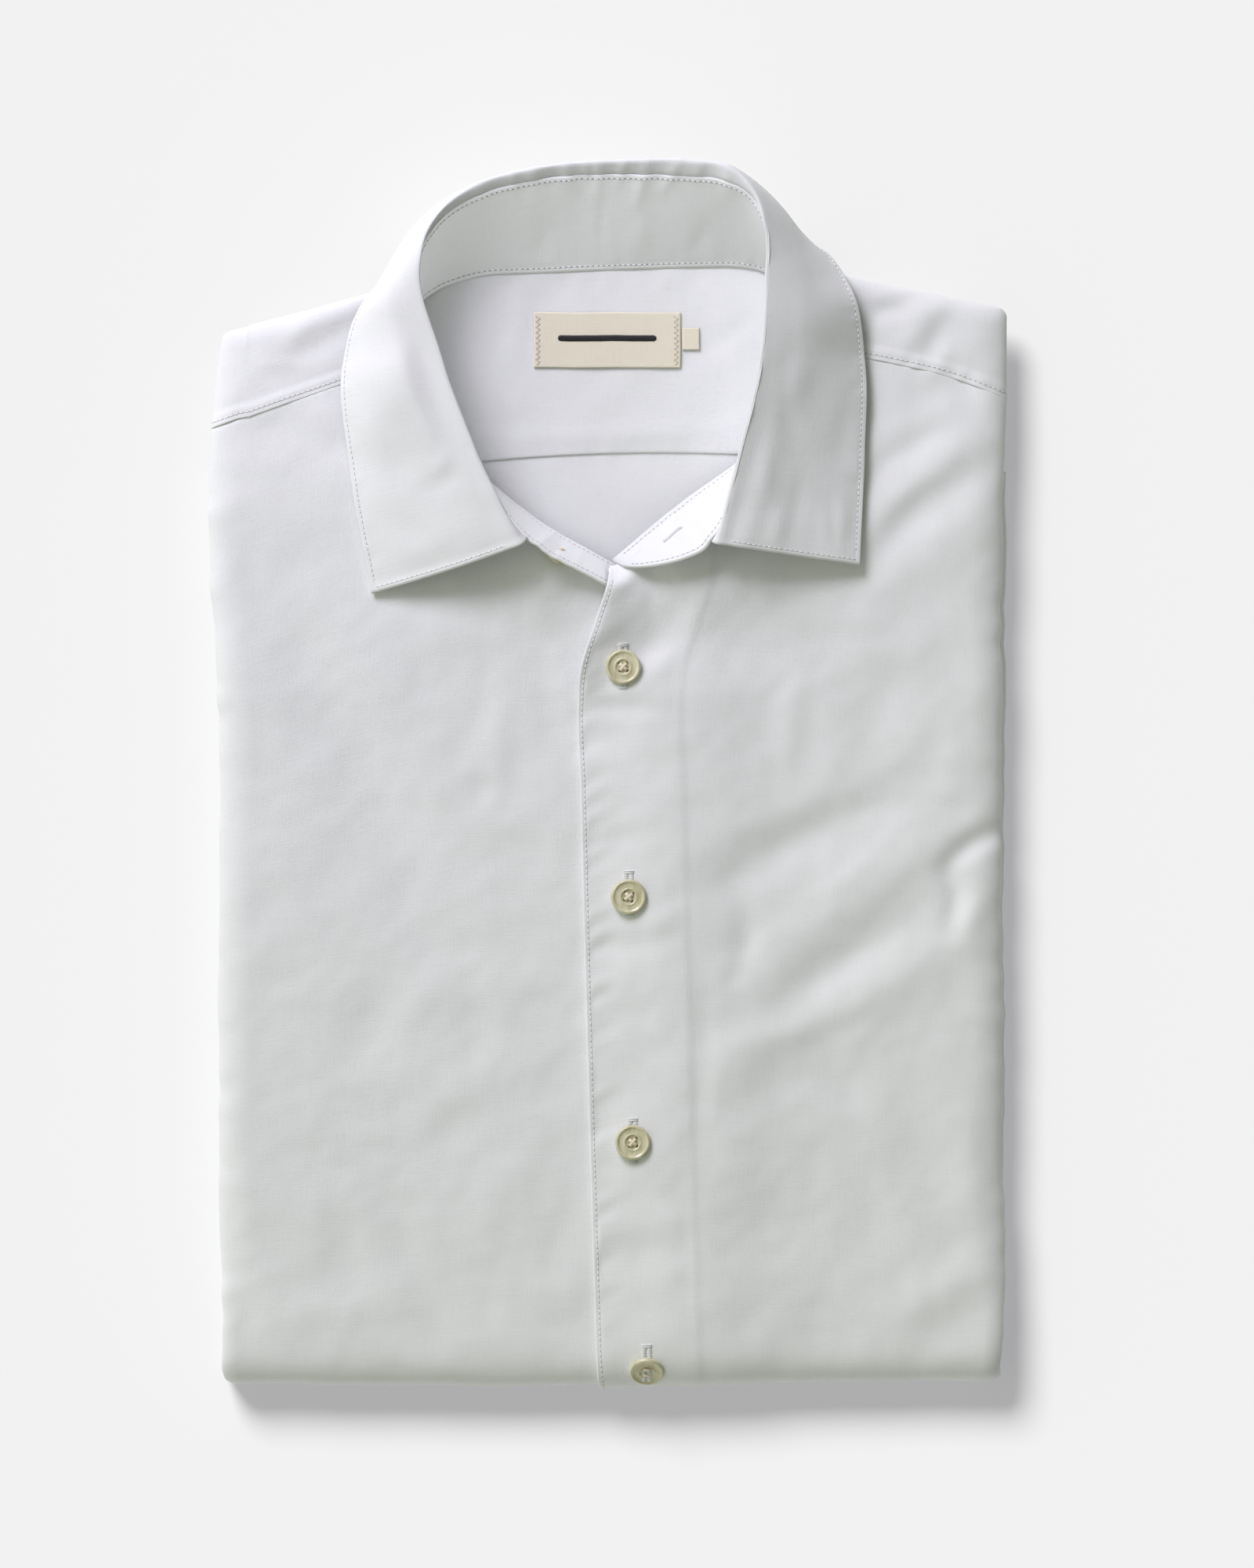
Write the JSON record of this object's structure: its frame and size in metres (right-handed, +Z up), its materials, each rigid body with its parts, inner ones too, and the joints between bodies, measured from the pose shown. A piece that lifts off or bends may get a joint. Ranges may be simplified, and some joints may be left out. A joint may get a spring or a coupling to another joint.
{
  "type": "folded dress shirt",
  "caption": "Dress shirt folded flat for a shelf, with a stand collar and leaf, a buttoned front and the tail folded under.",
  "frame": {"origin": "middle of the footprint, on the surface the shirt lies on", "axes": "+Y towards the collar, +Z up out of the buttoned front, +X towards the wearer's left front"},
  "size_m": [0.2791, 0.4299, 0.0412],
  "materials": {
    "shirting": "matte plain-weave cotton, white",
    "label_cotton": "matte woven tape, cream",
    "shell": "polished shell look, ivory"
  },
  "bodies": {
    "root": {"front_right": "shirting", "front_left": "shirting", "yoke": "shirting", "yoke_facing": "shirting", "back": "shirting", "collar_band": "shirting", "collar_leaf": "shirting", "folded_layers": "shirting", "label": "label_cotton", "size_tab": "label_cotton", "button_1": "shell", "button_2": "shell", "button_3": "shell", "button_4": "shell", "button_5": "shell", "button_6": "shell", "button_7": "shell", "button_collar": "shell"}
  },
  "joints": []
}
